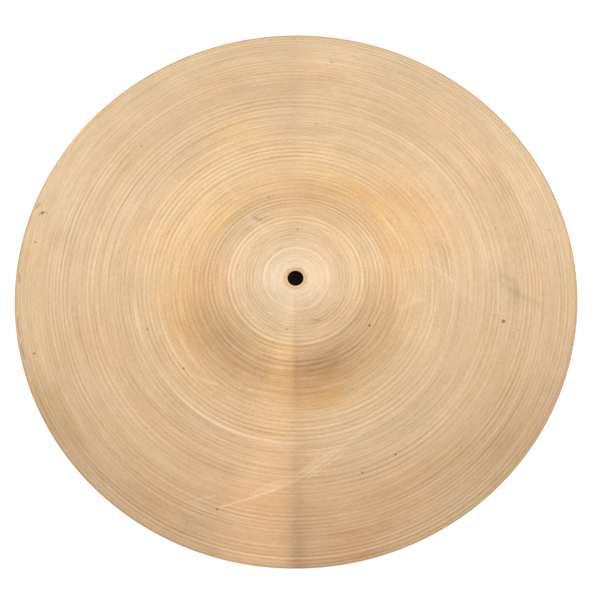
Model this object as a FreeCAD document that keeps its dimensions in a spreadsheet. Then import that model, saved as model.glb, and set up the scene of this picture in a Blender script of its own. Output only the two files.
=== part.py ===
# Crash cymbal, 18 in: one bronze plate.
#
# The plate is a body of revolution about +Z, with the played face up.  The origin
# is on the axis of the centre hole, level with the lower corner of the rim as it
# stands before rounding.
#
# The section is two chains of tangent arcs, top and underside:
#   crown     almost flat top of the bell, centred on the axis
#   shoulder  convex turn from the crown into the side of the bell
#   flare     hollow turn from the side of the bell into the bow
#   bow       the wide, shallow dome
#   edge      the outer band, where the bow turns down faster towards the rim
# The metal is of one thickness through the bell and flare, and thins along the
# bow and edge to the rim.

import FreeCAD, Part
import math
import os
import Sketcher

Vector = FreeCAD.Vector
doc = FreeCAD.newDocument("crash_cymbal")

# ---------------------------------------------------------------- driving sizes
SIZES = [
    # alias, value in mm, note
    ("rim_radius", 228.6, "half of the 18 in diameter"),
    ("overall_height", 34.1, "rim plane to the virtual top of the crown"),
    ("hole_radius", 6.35, "half of the 1/2 in centre hole"),
    ("hole_land_radius", 7.95, "outer radius of the bevel round the hole, top"),
    ("hole_land_depth", 0.40, "depth of that bevel"),
    ("hole_under_radius", 6.75, "outer radius of the bevel round the hole, underside"),
    ("hole_under_depth", 0.25, "depth of that bevel"),
    ("crown_radius", 420.0, "radius of curvature of the crown"),
    ("crown_end", 40.0, "distance from the axis where the crown ends"),
    ("shoulder_radius", 95.0, "radius of curvature of the shoulder"),
    ("shoulder_end", 74.5, "distance from the axis where the shoulder ends"),
    ("flare_radius", 76.0, "radius of curvature of the flare"),
    ("flare_end", 107.0, "distance from the axis where the flare ends"),
    ("bow_radius", 1500.0, "radius of curvature of the bow"),
    ("bow_end", 183.0, "distance from the axis where the bow ends"),
    ("bell_thickness", 1.30, "metal thickness through the bell and flare"),
    ("bow_thickness", 0.92, "metal thickness where the bow ends"),
    ("rim_thickness", 0.75, "metal thickness at the rim"),
    ("rim_round", 0.20, "rounding of both corners of the rim"),
]
sheet = doc.addObject("Spreadsheet::Sheet", "Sizes")
for column, heading in (("A", "alias"), ("B", "mm"), ("C", "note")):
    sheet.set(f"{column}1", heading)
for row, (alias, value, note) in enumerate(SIZES, start=2):
    sheet.set(f"A{row}", alias)
    sheet.set(f"B{row}", str(value))
    sheet.set(f"C{row}", note)
    sheet.setAlias(f"B{row}", alias)
doc.recompute()
size = {alias: float(getattr(sheet, alias)) for alias, _, _ in SIZES}


# -------------------------------------------------- starting points of the arcs
# The chains are worked out from the sheet so that the sketch starts near its
# solution; its constraints then hold it.  In the sketch x is the distance from
# the axis and y the height.  A slope is the downward angle, going outwards.
def upward_normal(slope):
    return Vector(math.sin(slope), math.cos(slope), 0)


def tangent_arc(start, slope, radius, end_x, convex):
    """Arc tangent to the slope at start, out to end_x: (centre, end, end slope)."""
    side = 1 if convex else -1
    centre = start - upward_normal(slope) * (side * radius)
    end_slope = math.asin(side * (end_x - centre.x) / radius)
    return centre, centre + upward_normal(end_slope) * (side * radius), end_slope


def convex_arc_to(start, slope, end):
    """Arc tangent to the slope at start that passes through end: (centre, radius)."""
    normal = upward_normal(slope)
    chord = end - start
    radius = -(chord.x**2 + chord.y**2) / (2 * (chord.x * normal.x + chord.y * normal.y))
    return start - normal * radius, radius


crown_centre = Vector(0, size["overall_height"] - size["crown_radius"], 0)


def on_crown(x, radius):
    return Vector(x, crown_centre.y + math.sqrt(radius**2 - x**2), 0)


# Top face, from the hole outwards
land_top = on_crown(size["hole_land_radius"], size["crown_radius"])
crown_top = on_crown(size["crown_end"], size["crown_radius"])
crown_slope = math.asin(size["crown_end"] / size["crown_radius"])
shoulder_centre, shoulder_top, shoulder_slope = tangent_arc(
    crown_top, crown_slope, size["shoulder_radius"], size["shoulder_end"], convex=True)
flare_centre, flare_top, flare_slope = tangent_arc(
    shoulder_top, shoulder_slope, size["flare_radius"], size["flare_end"], convex=False)
bow_centre, bow_top, bow_slope = tangent_arc(
    flare_top, flare_slope, size["bow_radius"], size["bow_end"], convex=True)
rim_top = Vector(size["rim_radius"], size["rim_thickness"], 0)
edge_centre, edge_radius = convex_arc_to(bow_top, bow_slope, rim_top)

# Underside, from the hole outwards: concentric with the top as far as the flare
thickness = size["bell_thickness"]
crown_under_radius = size["crown_radius"] - thickness
shoulder_under_radius = size["shoulder_radius"] - thickness
flare_under_radius = size["flare_radius"] + thickness
land_under = on_crown(size["hole_under_radius"], crown_under_radius)
crown_under = crown_top - upward_normal(crown_slope) * thickness
shoulder_under = shoulder_top - upward_normal(shoulder_slope) * thickness
flare_under_slope = math.asin((flare_centre.x - size["flare_end"]) / flare_under_radius)
flare_under = flare_centre - upward_normal(flare_under_slope) * flare_under_radius
bow_under = Vector(size["bow_end"], bow_top.y - size["bow_thickness"], 0)
bow_under_centre, bow_under_radius = convex_arc_to(flare_under, flare_under_slope, bow_under)
bow_under_slope = math.asin((bow_under.x - bow_under_centre.x) / bow_under_radius)
rim_under = Vector(size["rim_radius"], 0, 0)
edge_under_centre, edge_under_radius = convex_arc_to(bow_under, bow_under_slope, rim_under)

# Ends of the hole's wall, between its two bevels
bore_top = Vector(size["hole_radius"], land_top.y - size["hole_land_depth"], 0)
bore_under = Vector(size["hole_radius"], land_under.y + size["hole_under_depth"], 0)

# --------------------------------------------------------------- section sketch
body = doc.addObject("PartDesign::Body", "CymbalPlate")
body.Label = "cymbal_plate"
xz_plane = next(f for f in body.Origin.OriginFeatures if f.Role == "XZ_Plane")
section = body.newObject("Sketcher::SketchObject", "Section")
section.AttachmentSupport = [(xz_plane, "")]
section.MapMode = "FlatFace"


def arc(centre, radius, start, end):
    """Arc about centre that runs anticlockwise from start to end."""
    start_angle = math.atan2(start.y - centre.y, start.x - centre.x)
    end_angle = math.atan2(end.y - centre.y, end.x - centre.x)
    if end_angle < start_angle:
        end_angle += 2 * math.pi
    return Part.ArcOfCircle(Part.Circle(centre, Vector(0, 0, 1), radius), start_angle, end_angle)


# Arcs run anticlockwise, so a convex arc starts at its outer end and the hollow
# flare starts at its inner end.
OUTLINE = [
    ("crown", arc(crown_centre, size["crown_radius"], crown_top, land_top)),
    ("shoulder", arc(shoulder_centre, size["shoulder_radius"], shoulder_top, crown_top)),
    ("flare", arc(flare_centre, size["flare_radius"], shoulder_top, flare_top)),
    ("bow", arc(bow_centre, size["bow_radius"], bow_top, flare_top)),
    ("edge", arc(edge_centre, edge_radius, rim_top, bow_top)),
    ("rim", Part.LineSegment(rim_top, rim_under)),
    ("edge_under", arc(edge_under_centre, edge_under_radius, rim_under, bow_under)),
    ("bow_under", arc(bow_under_centre, bow_under_radius, bow_under, flare_under)),
    ("flare_under", arc(flare_centre, flare_under_radius, shoulder_under, flare_under)),
    ("shoulder_under", arc(shoulder_centre, shoulder_under_radius, shoulder_under, crown_under)),
    ("crown_under", arc(crown_centre, crown_under_radius, crown_under, land_under)),
    ("bevel_under", Part.LineSegment(land_under, bore_under)),
    ("bore", Part.LineSegment(bore_under, bore_top)),
    ("bevel", Part.LineSegment(bore_top, land_top)),
]
curves = {name: section.addGeometry(geometry, False) for name, geometry in OUTLINE}

# Sketcher's numbers for the points of a curve, the axes and the origin
START, END, CENTRE = 1, 2, 3
VERTICAL_AXIS, HORIZONTAL_AXIS, ROOT = -2, -1, -1


def hold(kind, *places):
    """Add a constraint; a curve may be given by its name."""
    numbers = [curves[p] if isinstance(p, str) else p for p in places]
    return section.addConstraint(Sketcher.Constraint(kind, *numbers))


def bind(name, expression, kind, *places):
    """Add a dimension that takes its value from the sheet."""
    section.renameConstraint(hold(kind, *places), name)
    section.setExpression(f"Constraints.{name}", expression)


SHAPE_CONSTRAINTS = [
    # top face, then the rim
    ("Tangent", "crown", START, "shoulder", END),
    ("Tangent", "shoulder", START, "flare", START),
    ("Tangent", "flare", END, "bow", END),
    ("Tangent", "bow", START, "edge", END),
    ("Coincident", "edge", START, "rim", START),
    ("Vertical", "rim"),
    ("Coincident", "rim", END, "edge_under", START),
    # underside, then the hole
    ("Tangent", "edge_under", END, "bow_under", START),
    ("Tangent", "bow_under", END, "flare_under", END),
    ("Tangent", "flare_under", START, "shoulder_under", START),
    ("Tangent", "shoulder_under", END, "crown_under", START),
    ("Coincident", "crown_under", END, "bevel_under", START),
    ("Coincident", "bevel_under", END, "bore", START),
    ("Vertical", "bore"),
    ("Coincident", "bore", END, "bevel", START),
    ("Coincident", "bevel", END, "crown", END),
    # centres
    ("PointOnObject", "crown", CENTRE, VERTICAL_AXIS),
    ("Coincident", "crown_under", CENTRE, "crown", CENTRE),
    ("Coincident", "shoulder_under", CENTRE, "shoulder", CENTRE),
    ("Coincident", "flare_under", CENTRE, "flare", CENTRE),
    # the lower corner of the rim is at z = 0
    ("PointOnObject", "rim", END, HORIZONTAL_AXIS),
]
for constraint in SHAPE_CONSTRAINTS:
    hold(*constraint)

# Radii of curvature
bind("crown_r", "Sizes.crown_radius", "Radius", "crown", size["crown_radius"])
bind("crown_under_r", "Sizes.crown_radius - Sizes.bell_thickness",
     "Radius", "crown_under", crown_under_radius)
for name in ("shoulder", "flare", "bow"):
    alias = f"{name}_radius"
    bind(f"{name}_r", f"Sizes.{alias}", "Radius", name, size[alias])

# Depth of the crown's centre below the rim plane
bind("crown_centre", "Sizes.crown_radius - Sizes.overall_height",
     "DistanceY", "crown", CENTRE, ROOT, START, -crown_centre.y)

# Distances from the axis: dimension, curve, its point, alias
for name, curve, point, alias in (
    ("land_x", "crown", END, "hole_land_radius"),
    ("crown_x", "crown", START, "crown_end"),
    ("shoulder_x", "shoulder", START, "shoulder_end"),
    ("flare_x", "flare", END, "flare_end"),
    ("bow_x", "bow", START, "bow_end"),
    ("rim_x", "rim", END, "rim_radius"),
    ("bow_under_x", "bow_under", START, "bow_end"),
    ("flare_under_x", "flare_under", END, "flare_end"),
    ("land_under_x", "crown_under", END, "hole_under_radius"),
    ("bore_x", "bore", START, "hole_radius"),
):
    bind(name, f"Sizes.{alias}", "DistanceX", ROOT, START, curve, point, size[alias])

# Heights: dimension, lower curve and point, upper curve and point, alias
for name, lower, lower_point, upper, upper_point, alias in (
    ("rim_height", "rim", END, "rim", START, "rim_thickness"),
    ("bow_height", "bow_under", START, "bow", START, "bow_thickness"),
    ("land_height", "bore", END, "crown", END, "hole_land_depth"),
    ("land_under_height", "crown_under", END, "bore", START, "hole_under_depth"),
):
    bind(name, f"Sizes.{alias}",
         "DistanceY", lower, lower_point, upper, upper_point, size[alias])
doc.recompute()

# ----------------------------------------------------------------- turned plate
turned = body.newObject("PartDesign::Revolution", "Turned")
turned.Profile = section
turned.ReferenceAxis = (section, ["V_Axis"])
turned.Angle = 360.0
doc.recompute()


# ------------------------------------------------- both corners of the rim rounded
def circles_of_radius(shape, radius, tolerance=1e-4):
    """Names of the circular edges of that radius."""
    return [
        f"Edge{i}" for i, edge in enumerate(shape.Edges, start=1)
        if isinstance(edge.Curve, Part.Circle) and abs(edge.Curve.Radius - radius) < tolerance
    ]


rim_edges = circles_of_radius(turned.Shape, size["rim_radius"])
if len(rim_edges) != 2:
    raise SystemExit(f"expected 2 rim edges, found {len(rim_edges)}")
rounded = body.newObject("PartDesign::Fillet", "RimRound")
rounded.Base = (turned, rim_edges)
rounded.Radius = size["rim_round"]
rounded.setExpression("Radius", "Sizes.rim_round")
body.Tip = rounded
doc.recompute()

# --------------------------------------------------------------- checks, export
failed = [o.Name for o in doc.Objects if "Invalid" in o.State or "Error" in o.State]
if failed:
    raise SystemExit(f"objects failed: {failed}")
if section.solve() != 0:
    raise SystemExit("the section sketch does not solve")
plate = body.Shape
if plate.isNull() or not plate.isValid() or len(plate.Solids) != 1:
    raise SystemExit(f"{body.Label}: bad shape")
os.makedirs("parts", exist_ok=True)
plate.exportStep(f"parts/{body.Label}.step")
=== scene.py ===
"""A lathed and hammered bronze cymbal plate.

It lies bell up on a white floor, its axis on Z and its rim just above z = 0. +X is right, +Y is away
from the camera. The section, the marks and the textures are in millimetres; the mesh is in metres.
"""

import math

import bpy
import numpy as np
from mathutils import Matrix, Vector


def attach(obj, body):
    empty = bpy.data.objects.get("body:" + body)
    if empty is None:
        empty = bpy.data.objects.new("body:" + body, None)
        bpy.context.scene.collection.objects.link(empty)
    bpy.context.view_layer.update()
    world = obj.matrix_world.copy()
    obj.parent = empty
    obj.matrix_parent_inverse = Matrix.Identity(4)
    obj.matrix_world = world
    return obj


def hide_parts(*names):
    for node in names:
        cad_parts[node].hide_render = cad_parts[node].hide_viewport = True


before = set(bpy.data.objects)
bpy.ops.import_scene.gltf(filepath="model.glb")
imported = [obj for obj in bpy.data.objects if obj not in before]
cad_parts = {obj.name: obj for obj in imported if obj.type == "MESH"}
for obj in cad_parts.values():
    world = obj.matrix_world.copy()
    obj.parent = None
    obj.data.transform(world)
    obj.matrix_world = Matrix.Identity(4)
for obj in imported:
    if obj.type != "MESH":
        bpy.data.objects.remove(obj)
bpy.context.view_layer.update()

# =====================================================================
# 1. The section of the plate (mm): a chain of tangent arcs
# =====================================================================
PEAK, R_HOLE, RIM = 34.10, 6.35, 228.6      # height on the axis, hole radius, rim radius
CROWN_R = 420.0
FLARE_END, BOW_END = 107.0, 183.0
T_BELL, T_BOW, T_RIM = 1.30, 0.92, 0.75     # metal thickness at the bell, the bow's end and the rim
# crown, shoulder, flare, bow: arc radius (below zero where the face is hollow), outer end
ARCS = [(CROWN_R, 40.0), (95.0, 74.5), (-76.0, FLARE_END), (1500.0, BOW_END)]


def section():
    """The arcs of the top face: where each starts, its signed radius and its centre."""
    arcs = []
    x, z, tilt = 0.0, PEAK, 0.0
    for radius, end in ARCS:
        centre_x, centre_z = x - math.sin(tilt) * radius, z - math.cos(tilt) * radius
        arcs.append((x, radius, centre_x, centre_z))
        tilt = math.asin((end - centre_x) / radius)
        x, z = end, centre_z + radius * math.cos(tilt)
    # the last arc carries on smoothly and ends at the top of the rim
    normal_x, normal_z = math.sin(tilt), math.cos(tilt)
    chord_x, chord_z = RIM - x, T_RIM - z
    radius = -(chord_x**2 + chord_z**2) / (2 * (chord_x * normal_x + chord_z * normal_z))
    arcs.append((x, radius, x - normal_x * radius, z - normal_z * radius))
    return arcs


SECTION = section()


def z_top(r):
    """Height of the top face."""
    r = np.asarray(r, float)
    z = 0.0
    for start, radius, centre_x, centre_z in SECTION:
        rise = np.sqrt(np.maximum(radius**2 - (r - centre_x) ** 2, 0))
        z = np.where(r > start, centre_z + math.copysign(1, radius) * rise, z)
    return z


def thickness(r):
    """Metal thickness along z, thinning from the flare to the rim."""
    slope = (z_top(r - 0.05) - z_top(r + 0.05)) / 0.1
    normal = np.interp(r, [0, FLARE_END, BOW_END, RIM], [T_BELL, T_BELL, T_BOW, T_RIM])
    return normal * np.sqrt(1 + slope**2)


# =====================================================================
# 2. Lathe grooves, hammering and tarnish
# =====================================================================
SEG = 180
PHI = np.arange(SEG) * 2 * math.pi / SEG
GROOVE = 0.0080         # mm of height for each unit of a ring's strength
rng = np.random.default_rng(18)

# The grooves are one long spiral, cut from the hole out to the rim. These are the turns that stand
# out: base radius (mm), close to where they cross the negative X axis, and strength, above zero for
# a pale ridge and below zero for a dark groove.
TURNS = [
    (12.5, 1.6), (15.0, -1.2), (17.4, 1.4), (19.4, -1.0), (20.6, 0.8), (22.0, -2.2), (23.0, 0.4),
    (24.0, -1.6), (25.8, 6.1), (28.0, -2.1), (29.2, 0.9), (30.2, -0.5), (31.4, 2.3), (32.6, -0.9),
    (33.7, 1.8), (35.1, -3.4), (36.5, 2.1), (37.8, -4.1), (39.1, 1.7), (40.4, -3.7), (41.7, 0.9),
    (42.9, -2.8), (44.3, 2.0), (45.6, -2.8), (47.0, 3.7), (48.5, -1.1), (50.6, 4.1), (52.4, -4.4),
    (54.0, 7.7), (56.1, -4.9), (58.1, 0.9), (59.7, -3.0), (61.3, 3.6), (62.5, 0.7), (63.3, 1.9),
    (64.7, -3.4), (66.1, 3.9), (67.7, -6.4), (69.3, 5.6), (70.9, -6.4), (72.9, 5.9), (74.5, -4.8),
    (76.3, 2.2), (78.4, -3.4), (80.5, 4.2), (82.8, -3.3), (85.4, 2.3), (87.1, -1.9), (89.3, 2.4),
    (91.1, -2.7), (93.4, 1.8), (95.2, -1.2), (96.7, 1.3), (98.4, -1.0), (100.1, 1.1), (102.0, -1.0),
    (103.9, 2.1), (105.8, -1.4), (107.9, 2.1), (109.9, -3.2), (112.1, 4.0), (113.9, -4.3),
    (115.9, 3.5), (117.5, -2.9), (119.3, 3.8), (121.0, -3.8), (122.8, 4.0), (124.8, -3.9),
    (126.7, 3.1), (128.4, -2.8), (130.3, 4.2), (131.9, -0.8), (133.3, 0.5), (135.1, -2.3),
    (136.9, 1.5), (138.7, -1.6), (140.5, 1.7), (142.1, -2.0), (143.8, 1.4), (145.3, -1.7),
    (146.8, 1.7), (148.2, -2.1), (149.7, 1.7), (151.2, -3.2), (154.3, 2.2), (155.9, -1.1),
    (157.5, 4.6), (159.3, -4.7), (161.1, 3.8), (163.2, -3.5), (165.3, 4.2), (167.3, -3.1),
    (169.1, 3.2), (171.1, -1.6), (172.8, 1.0), (174.5, -0.9), (176.3, 0.8), (177.7, -1.0),
    (179.8, 0.9), (181.5, -1.5), (184.0, 1.5), (185.6, -2.6), (187.1, 2.8), (189.0, -3.8),
    (190.6, 4.1), (192.3, -3.6), (193.7, 3.3), (195.1, -3.0), (196.5, 3.1), (198.0, -2.9),
    (199.4, 2.9), (201.0, -2.6), (202.5, 2.3), (204.1, -1.6), (205.6, 1.2), (207.1, -1.0),
    (208.6, 1.1), (210.1, -1.1), (211.7, 1.4), (213.3, -1.6), (214.8, 2.3), (216.2, -2.4),
    (217.6, 2.3), (219.0, -3.3), (220.5, 3.9), (222.1, -3.1), (223.5, 2.4), (224.9, -2.4),
    (226.2, 2.0), (227.3, -1.2),
]
# the spiral by radius: how far it moves outwards in a turn, and how far it runs off the centre of
# the hole (mm: cosine and sine of the angle, then of twice the angle)
SPIRAL = np.array([
    (10, 0.2, 0.70, 0.00, 0.15, -0.03), (21, 0.2, 0.79, 0.01, 0.15, -0.05),
    (30, 1.49, 0.88, 0.28, 0.04, -0.06), (41, 2.46, 0.94, 0.48, 0.08, -0.04),
    (56, 2.97, 0.90, 0.79, 0.17, 0.05), (69, 2.95, 0.80, 0.95, 0.20, 0.00),
    (81, 3.60, 0.75, 1.00, 0.17, 0.00), (96, 4.20, 0.45, 0.85, 0.15, 0.08),
    (112, 4.20, 0.55, 0.83, 0.16, 0.06), (128, 3.40, 0.55, 0.70, 0.15, 0.00),
    (147, 3.50, 0.42, 0.60, 0.16, 0.00), (162, 3.95, 0.46, 0.49, 0.14, 0.00),
    (179, 3.78, 0.46, 0.21, 0.11, -0.03), (195, 3.13, 0.50, 0.12, -0.02, -0.05),
    (213, 3.08, 0.50, 0.25, -0.15, 0.15), (228.6, 3.08, 0.50, 0.25, -0.15, 0.15),
])
# places where the tool bit harder or more lightly: angle, radius, spread along (degrees) and
# across (mm), by how much
BITES = [
    (130, 21, 35, 12, 0.78), (350, 21, 35, 12, -0.33), (75, 50, 30, 20, -0.23),
    (260, 63, 30, 14, 0.41), (140, 90, 30, 18, 0.46), (45, 90, 30, 15, 0.39),
    (225, 90, 30, 14, -0.46), (15, 125, 35, 20, -0.53), (120, 130, 30, 25, 0.59),
    (300, 125, 30, 25, 0.35), (15, 187, 35, 14, 0.24), (105, 190, 28, 14, -0.34),
    (155, 185, 25, 12, 0.32), (300, 215, 38, 13, 0.86), (165, 215, 48, 13, -0.39),
    (345, 41, 40, 9, 0.28),
]
# depth of cut of the spiral by radius
CUT_RADII = (20, 42, 62, 88, 120, 152, 185, 206, 216)
CUT_DEPTHS = (0.75, 1.02, 0.76, 0.60, 0.68, 0.76, 0.84, 1.02, 1.10)
# rings of the underside: outer radius of the zone, pitch, strength
LOW_ZONES = [(40, 3.6, 2.0), (100, 4.4, 3.4), (RIM, 4.2, 4.0)]
LOW_START, LOW_END = 7.6, 226.5
# waver of the underside's rings: waves to the turn, mm of shift, mm of radius in which they twist
WAVES = [(2, 0.14, 150), (3, 0.12, 120), (5, 0.09, 90), (7, 0.07, 70), (11, 0.05, 55),
         (16, 0.035, 45), (23, 0.02, 40)]
# hammer blows on the bow: radius of the ring, number of blows
BLOW_RINGS = [(122, 22), (140, 26), (158, 30), (176, 33), (193, 36), (208, 38)]


def fade_in(r, start, width):
    return np.clip((r - start) / width, 0, 1)


def fade_out(r, end, width):
    return np.clip((end - r) / width, 0, 1)


def ease(t):
    return t * t * (3 - 2 * t)


def run_off(r, phi, turn=0.0):
    """How far the spiral is from its base radius at an angle; turn adds whole turns."""
    pitch, cos1, sin1, cos2, sin2 = (np.interp(r, SPIRAL[:, 0], SPIRAL[:, q]) for q in range(1, 6))
    out = pitch * (phi / (2 * math.pi) - 0.5 + turn)
    out = out + cos1 * np.cos(phi) + sin1 * np.sin(phi)
    out = out + cos2 * np.cos(2 * phi) + sin2 * np.sin(2 * phi)
    return out * fade_in(r, 8.6, 6) * fade_out(r, RIM, 2)


def bite(r, phi):
    out = np.full(np.broadcast(r, phi).shape, 0.92)
    for angle, r0, along, across, more in BITES:
        turn = (np.degrees(phi) - angle + 180) % 360 - 180
        out = out + more * np.exp(-0.5 * (turn / along) ** 2 - 0.5 * ((r - r0) / across) ** 2)
    return out


def turned(marks, r, phi):
    """Strength of the spiral's ridges and grooves at radii and angles (arrays, 0 to 2 pi)."""
    at, level = (np.array(v) for v in zip(*marks))

    def wave(s):
        k = np.clip(np.searchsorted(at, s) - 1, 0, len(at) - 2)
        t = np.clip((s - at[k]) / (at[k + 1] - at[k]), 0, 1)
        return level[k] + (level[k + 1] - level[k]) * ease(t)

    def along(turn):
        s = r - run_off(r, phi, turn)
        return wave(r - run_off(s, phi, turn))

    # the last 50 degrees of a turn run over into the next one
    over = ease(np.clip((phi - math.radians(310)) / math.radians(50), 0, 1))
    depth = np.interp(r, CUT_RADII, CUT_DEPTHS)
    return (along(0.0) * (1 - over) + along(-1.0) * over) * bite(r, phi) * depth


def low_rings():
    """Evenly turned rings for the underside: radii and strengths, ridge after groove."""
    marks, r, sign = [(LOW_START, 0.0)], LOW_START + 1.5, 1.0
    while r < LOW_END:
        pitch, strong = next((p, d) for outer, p, d in LOW_ZONES if r < outer)
        marks.append((r, sign * strong * rng.uniform(0.4, 1.2)))
        r += pitch / 2 * rng.uniform(0.88, 1.12)
        sign = -sign
    return (np.array(v) for v in zip(*marks))


def smooth_noise(terms, seed):
    """A smooth closed curve round the axis, about -1 to 1."""
    g = np.random.default_rng(seed)
    out = np.zeros_like(PHI)
    for n in range(1, terms + 1):
        a = g.normal(size=2) / math.sqrt(n)
        out += a[0] * np.cos(n * PHI) + a[1] * np.sin(n * PHI)
    return out / (np.abs(out).max() + 1e-9)


def waver(r, seed):
    """Radial shift (mm) of turned rings, which are not quite round, nor centred on the hole."""
    g = np.random.default_rng(seed)
    r, phi = r[:, None], PHI[None, :]
    out = np.zeros((len(r), SEG))
    for n, amp, length in WAVES:
        a, b = g.uniform(0, 2 * math.pi, 2)
        twist = np.sin(n * phi + a + r / length * 2 * math.pi)
        out += amp * twist * (0.6 + 0.4 * np.sin(b + r / 60.0))
    out -= 0.25 * np.sin(phi)
    out += 1.8 * np.cos(phi) * np.exp(-((r - 26.0) / 4.5) ** 2)
    return out * fade_in(r, 9, 12) * fade_out(r, 227.6, 14)


def lattice(u, v, seed, wrap=64):
    """A smooth random field, -1 to 1, with features of one unit; wrap closes it round in u."""
    table = np.random.default_rng(seed).uniform(-1, 1, (64, 64))
    i, j = np.floor(u).astype(int), np.floor(v).astype(int)
    fu, fv = ease(u - i), ease(v - j)

    def row(q):
        return table[i % wrap, q % 64] * (1 - fu) + table[(i + 1) % wrap, q % 64] * fu

    return row(j) * (1 - fv) + row(j + 1) * fv


def cloudy(x, y, mm, seed, octaves=3, fall=0.6):
    """Clouds with features of mm millimetres; each octave is half the size and turned."""
    out, amp, total = 0.0, 1.0, 0.0
    for k in range(octaves):
        c, s = math.cos(0.7 * k + 0.4), math.sin(0.7 * k + 0.4)
        u = (x * c - y * s) / mm * 2**k + 9.3
        v = (x * s + y * c) / mm * 2**k + 5.1
        out = out + amp * lattice(u, v, seed + k)
        total += amp
        amp *= fall
    return out / total


def drawn_round(phi, r, cells, mm, seed):
    """A field drawn out along the rings: cells to the turn, mm across."""
    turn = (phi % (2 * math.pi)) / (2 * math.pi)
    return lattice(turn * cells, r / mm + 3.7, seed, wrap=cells)


def hammer_blows():
    """Centre x and y, size and depth of each dimple (mm)."""
    blows = []
    for ring_r, count in BLOW_RINGS:
        for k in range(count):
            a = (k + rng.uniform(-0.35, 0.35)) / count * 2 * math.pi
            r = ring_r + rng.uniform(-6, 6)
            size, depth = rng.uniform(11, 17), rng.uniform(0.003, 0.009)
            blows.append((r * math.cos(a), r * math.sin(a), size, depth))
    return blows


BLOWS = hammer_blows()


def hammering(r):
    """Height of the dimples on rings of points, none inside the bow."""
    x, y = r * np.cos(PHI), r * np.sin(PHI)
    h = np.zeros_like(x)
    for blow_x, blow_y, size, depth in BLOWS:
        q = ((x - blow_x) ** 2 + (y - blow_y) ** 2) / (size * size)
        near = q < 6
        h[near] -= depth * np.exp(-q[near])
    return h * fade_in(r, 100, 20)


def warp(r):
    """The slow unevenness left by hammering, a few hundredths of a millimetre."""
    r = r[:, None]
    out = 0.045 * smooth_noise(3, 5)[None, :] * fade_in(r, 95, 120)
    out = out + 0.008 * smooth_noise(6, 6)[None, :] * np.sin(r / 17.0) * fade_in(r, 90, 60)
    return out * fade_out(r, 227.5, 12)


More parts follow.
